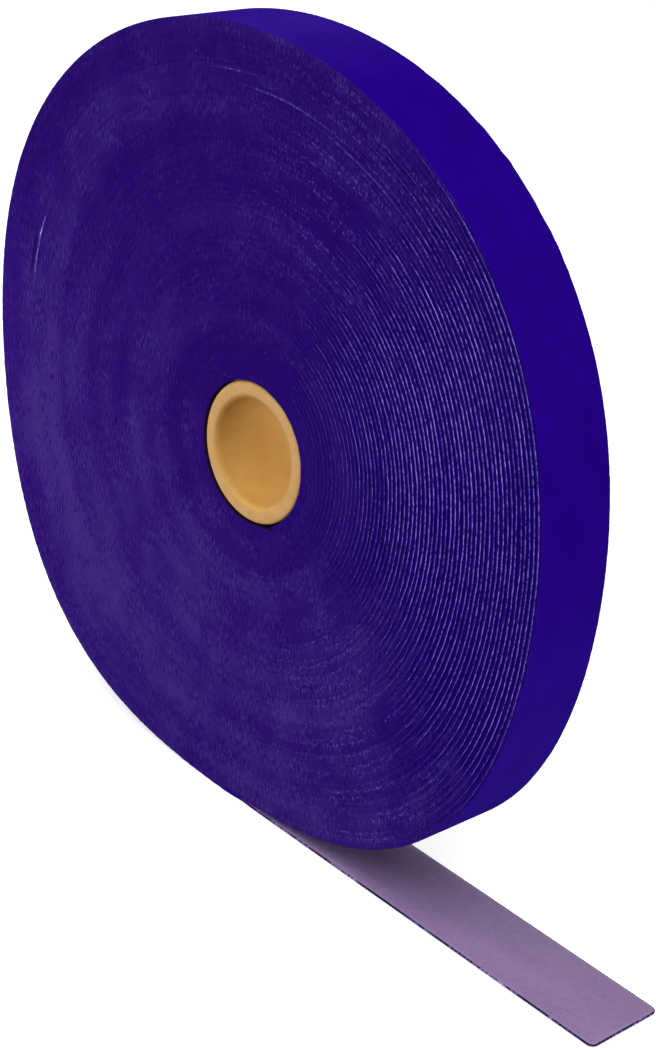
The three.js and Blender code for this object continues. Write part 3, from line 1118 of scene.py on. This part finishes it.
def plant_hooks(start, end):
    """Rows of small hooks on the film between two places, every second row shifted and turned round."""
    fields = []
    reach = HALF_WIDTH - FILM_MARGIN - HOOK_PITCH / 2
    rows = int(2 * reach / (2 * HOOK_PITCH))
    for shift, turned in ((0, 1), (1, -1)):
        field = small_hook.copy()
        field.data = small_hook.data.copy()
        bpy.context.scene.collection.objects.link(field)
        pick(field)
        field.scale.x = turned
        bpy.ops.object.transform_apply(scale=True)
        repeat_along(field, 0, HOOK_PITCH, round((end - start) / HOOK_PITCH))
        repeat_along(field, 1, 2 * HOOK_PITCH, rows)
        apply_modifiers(field)
        first_hook = start + HOOK_PITCH * (1 + shift) / 2 - HOOK_PITCH / 4
        field.location = (first_hook, (shift - rows + 0.5) * HOOK_PITCH, FILM_TOP)
        bpy.ops.object.transform_apply(location=True)
        fields.append(field)
    return fields


print("tail from", round(ROOT_START / MM, 1), "to", round(TAIL_END / MM, 1), "mm")

# %% Pieces of the tail
def model_tail_piece(name, start, end, edge_finish, is_end=False):
    """A flat piece of the tape: pile below, cloth, film and hooks above."""
    layers = []
    for layer_name, inset, bottom, top, corner, rounding, finish in (
        (name, 0, PRESSED_PILE, CLOTH_TOP, TAIL_CORNER, EDGE_ROUNDING, edge_finish),
        ("pile", PILE_SET_BACK, 0, PRESSED_PILE, INNER_CORNER, NAP_ROUNDING, pile_finish),
        ("film", FILM_MARGIN, CLOTH_TOP, FILM_TOP, INNER_CORNER, FILM_ROUNDING, hook_film_finish),
    ):
        low = (start, inset - HALF_WIDTH, bottom)
        high = (end - inset if is_end else end, HALF_WIDTH - inset, top)
        layers.append(model_layer(layer_name, low, high, corner if is_end else 0, rounding, finish))
    layers += plant_hooks(start, end - FILM_MARGIN - HOOK_PITCH / 2 if is_end else end)
    tail_piece = layers[0]
    pick(tail_piece)
    for layer in layers:
        layer.select_set(True)
    bpy.ops.object.join()
    for corner, spot in zip(tail_piece.data.loops, tail_piece.data.uv_layers.active.data):
        place = tail_piece.data.vertices[corner.vertex_index].co
        spot.uv = (place.x / MM, place.y / MM)
    bpy.ops.object.shade_smooth_by_angle(angle=SMOOTH_ANGLE)
    return tail_piece


def fill_root(root):
    """Widens and raises the pile of the tail's root towards the roll, to meet the last turn."""
    pile_edge = HALF_WIDTH - PILE_SET_BACK
    for vertex in root.data.vertices:
        near_roll = 1 - smooth_step(ROOT_START, TAIL_START, vertex.co.x)
        at_edge = pile_edge - 2 * NAP_ROUNDING < abs(vertex.co.y) < pile_edge + TINY
        if at_edge and vertex.co.z < CLOTH_TOP:
            vertex.co.y += math.copysign(PILE_SET_BACK * near_roll, vertex.co.y)
        if vertex.co.z > TINY:
            vertex.co.z += (PILE_HEIGHT - PRESSED_PILE) * near_roll


tail_root = model_tail_piece("tail_root", ROOT_START, TAIL_START, side_fuzz_finish)
fill_root(tail_root)
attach(tail_root, "roll")
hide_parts("outer_turns")
for number, hinge in enumerate(hinges, start=1):
    is_end = number == len(hinges)
    start = hinge.x - PLATE_PITCH / 2
    middle = hinge.x + PLATE_PITCH / 2
    end = TAIL_END if is_end else middle
    piece = model_tail_piece(f"tail_bend_piece_{number}", start, end, cloth_edge_finish, is_end)
    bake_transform(piece)
    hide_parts(f"tail_loop_{number}", f"tail_hook_{number}")
bpy.data.objects.remove(small_hook)
print("last piece of the tail", piece.name, len(piece.data.polygons), "faces")

# %% [markdown]
# ## The cardboard core
#
# The core is a tube rolled from brown paper, rough on its cut end and smooth in its bore. Painted shade makes
# the bore dark at the top of its front end, and painted light makes it lighter towards the back. A hole cut
# through a cylinder would leave sharp rims. So a cylinder's two ends are inset by the wall, the middles are
# removed, and the inner rims are bridged for the bore. Then each of the four rims is rounded by its own
# amount, most at the front.

# %% Finish of the cardboard
CORE_CENTRE = Vector((0, 0, AXIS_HEIGHT))
BORE_BORDER = (16.5, 15.5)
PAINTED_SHADE_DEPTH = (-14.0, 10.0)
PAINTED_SHADE_SLANT = 0.45
finish, tree = new_finish("core_cardboard", roughness=0.6, specular=0.25)
fibre = cloudy(tree, in_space(tree, (0.35, 0.25, 0.35), CORE_CENTRE), detail=4.0, roughness=0.5)
cut_end = tinted(tree, fibre, (0.3, (0.36, 0.192, 0.054)), (0.7, (0.43, 0.243, 0.075)))
painted_shade_liner = tinted(tree, fibre, (0.3, (0.25, 0.116, 0.018)), (0.7, (0.3, 0.142, 0.024)))
painted_light_liner = tinted(tree, fibre, (0.3, (0.82, 0.48, 0.118)), (0.7, (0.87, 0.525, 0.137)))

# The liner of the bore goes from painted shade, dark at the top of the front end, to painted light at the
# bottom of the back end.
place = in_space(tree, (1, 1, 1), CORE_CENTRE)
higher = combined(tree, "MULTIPLY", along_axis(tree, place, "Z"), PAINTED_SHADE_SLANT)
inwards = combined(tree, "SUBTRACT", along_axis(tree, place, "Y"), higher)
liner_with_painted_shade = mixed(tree, scaled(tree, inwards, 0.0, 1.0, *PAINTED_SHADE_DEPTH), painted_shade_liner, painted_light_liner)

# The distance from the axis, in millimetres, tells the cut end from the bore.
radius = add_node(tree, "ShaderNodeVectorMath", "LENGTH")
tree.links.new(changed(tree, "MULTIPLY", place, (1, 0, 1)), radius.inputs[0])
in_bore = scaled(tree, radius.outputs["Value"], 0.0, 1.0, *BORE_BORDER)
cardboard_finish = complete(finish, mixed(tree, in_bore, cut_end, liner_with_painted_shade), relief=fibre, depth=0.02 * MM)

# %% The core
CORE_SWELL = 0.3 * MM
CORE_RADIUS = (core_high.x - core_low.x) / 2 + CORE_SWELL
CORE_HALF_WIDTH = (core_high.y - core_low.y) / 2
CORE_WALL = 4.9 * MM
CORE_SIDES = 128
# Each rim is at the front, -1, or the back, 1, outside, 0, or inside, 1, and has its rounding.
CORE_RIMS = [(-1, 0, 1.1 * MM), (-1, 1, 1.6 * MM), (1, 0, 0.5 * MM), (1, 1, 0.25 * MM)]
CORE_CUTS = 10


def is_on_rim(vertex, rim):
    """True for a point at a rim, which is given by its distance from the core's axis and its place along."""
    around = (vertex.co - CORE_CENTRE).xz.length
    return (Vector((around, vertex.co.y)) - rim).length < TINY


def model_core():
    """A tube with a wall, open at both ends, with round rims."""
    bpy.ops.object.select_all(action="DESELECT")
    size = {"vertices": CORE_SIDES, "radius": CORE_RADIUS, "depth": 2 * CORE_HALF_WIDTH}
    bpy.ops.mesh.primitive_cylinder_add(location=CORE_CENTRE, rotation=(math.pi / 2, 0, 0), **size)
    bpy.ops.object.transform_apply(location=True, rotation=True, scale=True)
    core = bpy.context.active_object
    core.name = "cardboard_core"
    bpy.ops.object.mode_set(mode="EDIT")
    select_parts(core, "FACE", lambda face: abs(face.normal.y) > FACING)
    bpy.ops.mesh.inset(thickness=CORE_WALL)
    bpy.ops.mesh.delete(type="FACE")
    select_parts(core, "EDGE", lambda edge: edge.is_boundary)
    bpy.ops.mesh.bridge_edge_loops()
    for side, inner, rounding in CORE_RIMS:
        rim = Vector((CORE_RADIUS - inner * CORE_WALL, side * CORE_HALF_WIDTH))
        select_parts(core, "EDGE", lambda edge: all(is_on_rim(vertex, rim) for vertex in edge.verts))
        bpy.ops.mesh.bevel(offset=rounding, segments=5, affect="EDGES")
    cut_across(1, [CORE_HALF_WIDTH * (2 * i / CORE_CUTS - 1) for i in range(2, CORE_CUTS - 1)])
    bpy.ops.mesh.select_all(action="SELECT")
    bpy.ops.mesh.normals_make_consistent(inside=False)
    bpy.ops.object.mode_set(mode="OBJECT")
    bpy.ops.object.shade_smooth_by_angle(angle=SMOOTH_ANGLE)
    core.data.materials.append(cardboard_finish)
    return core


core = model_core()
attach(core, "roll")
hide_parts("core_tube")
print("core", len(core.data.polygons), "faces")

# %% [markdown]
# ## The start tab
#
# A short strip of double-sided tape holds the first turn on the core. A new piece could be modelled, but it
# is hidden between the two and its solid is right as it is, so it only gets a paper finish.

# %% Finish of the start tab
finish, tree = new_finish("tab_paper", roughness=0.7, specular=0.3)
fibre = cloudy(tree, in_space(tree, (1.2, 0.6, 1.2)), detail=4.0)
colour = tinted(tree, fibre, (0.3, (0.62, 0.56, 0.44)), (0.7, (0.78, 0.73, 0.6)))
start_tab = frame["nodes"]["start_tab"]
start_tab.data.materials.clear()
start_tab.data.materials.append(complete(finish, colour, relief=fibre, depth=0.05 * MM))
print("start tab has", start_tab.data.materials[0].name)
